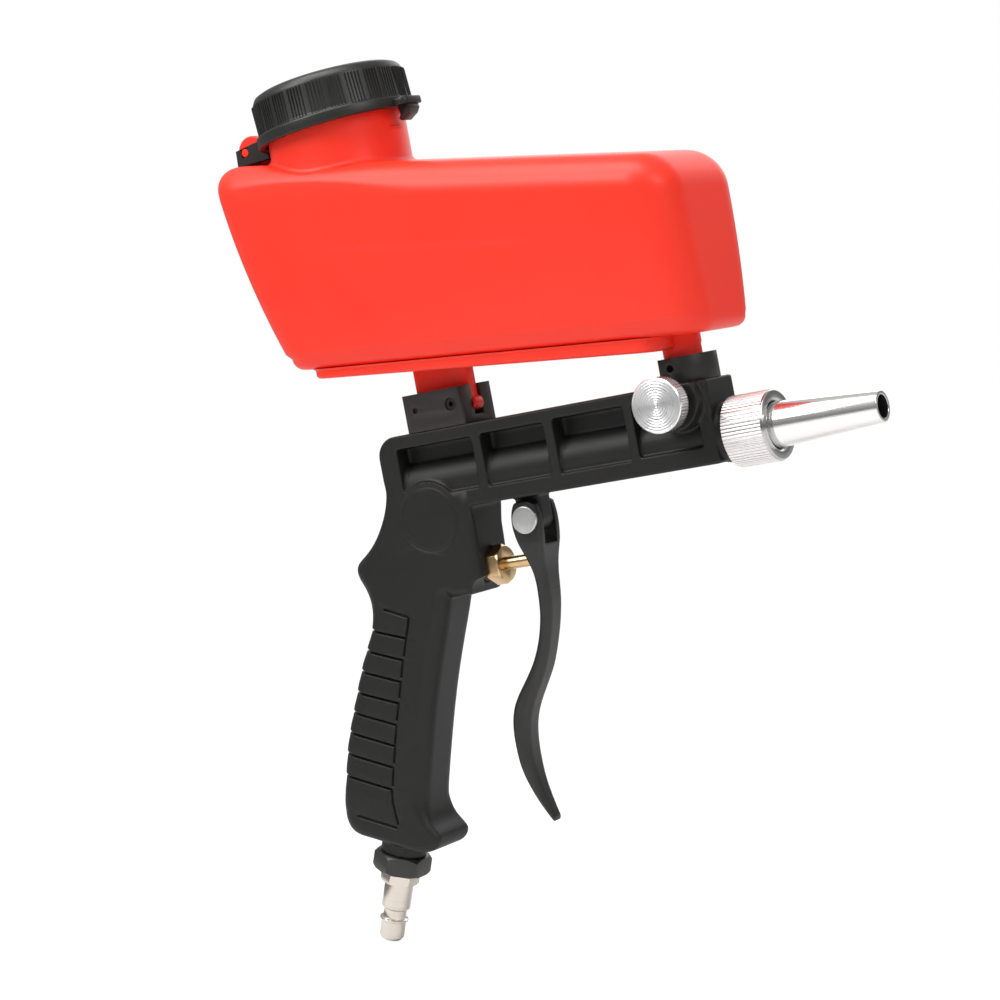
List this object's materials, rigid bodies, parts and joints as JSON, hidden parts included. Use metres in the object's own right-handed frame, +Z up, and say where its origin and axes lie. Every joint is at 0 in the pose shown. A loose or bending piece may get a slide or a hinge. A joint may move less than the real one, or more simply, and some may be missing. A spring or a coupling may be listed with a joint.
{
  "type": "gravity feed abrasive blast gun",
  "caption": "Hand-held air blast gun with a red hopper on top, pistol grip, curved trigger, metering knob and a tapered steel nozzle.",
  "frame": {"origin": "centre of the nozzle mouth, on the barrel axis", "axes": "+X along the blast, +Z up away from the grip, the metering knob is on the -Y side"},
  "size_m": [0.2764, 0.0688, 0.3667],
  "materials": {
    "black_nylon": "fine moulded grain",
    "black_lever": "smooth satin",
    "black_mount": "fine moulded grain",
    "black_cap": "satin",
    "black_nut": "black coated",
    "black_acetal": "turned",
    "red_plastic": "soft gloss",
    "white_plastic": "moulded",
    "polished_steel": "polished",
    "knurled_aluminium": "fine straight knurl",
    "turned_aluminium": "radial turning marks",
    "bare_aluminium": "drawn",
    "pin_steel": "zinc plated",
    "nickel_plate": "nickel plated",
    "plain_steel": "bare",
    "black_steel": "black oxide",
    "brass": "machined",
    "rubber": "matt"
  },
  "bodies": {
    "gun": {"gun_body": "black_nylon", "air_tube": "bare_aluminium", "air_jet": "brass", "mixing_liner": "plain_steel", "nozzle_gasket": "rubber", "nozzle": "polished_steel", "valve_gland": "brass", "stem_ring": "rubber", "valve_seat": "brass", "inlet_nut": "black_nut", "quick_plug": "nickel_plate", "plug_seal": "rubber", "rear_bracket": "black_mount", "bracket_base_screws": "black_steel", "clamp_screw": "black_steel", "bracket_dowel": "plain_steel", "hopper_socket": "black_mount", "socket_set_screw": "black_steel", "spout_seal": "rubber", "hopper": "red_plastic"},
    "nozzle_nut": {"nozzle_nut": "knurled_aluminium"},
    "flow_knob": {"flow_knob": "turned_aluminium", "spindle": "black_acetal", "spindle_ring": "rubber", "knob_set_screw": "black_steel"},
    "trigger": {"trigger": "black_lever", "trigger_pin": "pin_steel", "pin_washer": "pin_steel", "pin_rivet": "pin_steel"},
    "valve": {"valve_stem": "brass", "valve_poppet": "rubber", "valve_spring": "plain_steel"},
    "lid": {"lid": "black_cap", "lid_gasket": "rubber", "lid_insert": "white_plastic"}
  },
  "joints": [
    {"name": "trigger_pull", "type": "hinge", "parent": "gun", "child": "trigger", "pos_m": [-0.1615, 0, -0.0202], "axis": [0, 1, 0], "range_deg": [0, 14], "stiffness_Nm_per_rad": 0.9, "springref_deg": -6.88},
    {"name": "valve_push", "type": "slide", "parent": "gun", "child": "valve", "axis": [-1, 0, 0], "range_m": [0, 0.0045], "deforming": ["valve_spring"]},
    {"name": "lid_open", "type": "hinge", "parent": "gun", "child": "lid", "pos_m": [-0.2642, 0, 0.1521], "axis": [0, -1, 0], "range_deg": [0, 110]},
    {"name": "flow_turn", "type": "hinge", "parent": "gun", "child": "flow_knob", "pos_m": [-0.0808, 0, 0.016], "axis": [0, 1, 0], "range_deg": [0, 90]},
    {"name": "nut_turn", "type": "hinge", "parent": "gun", "child": "nozzle_nut", "pos_m": [-0.055, 0, 0], "axis": [1, 0, 0], "continuous": true}
  ],
  "couplings": [
    {"joint": "valve_push", "follows": "trigger_pull", "m_per_rad": 0.0174}
  ]
}
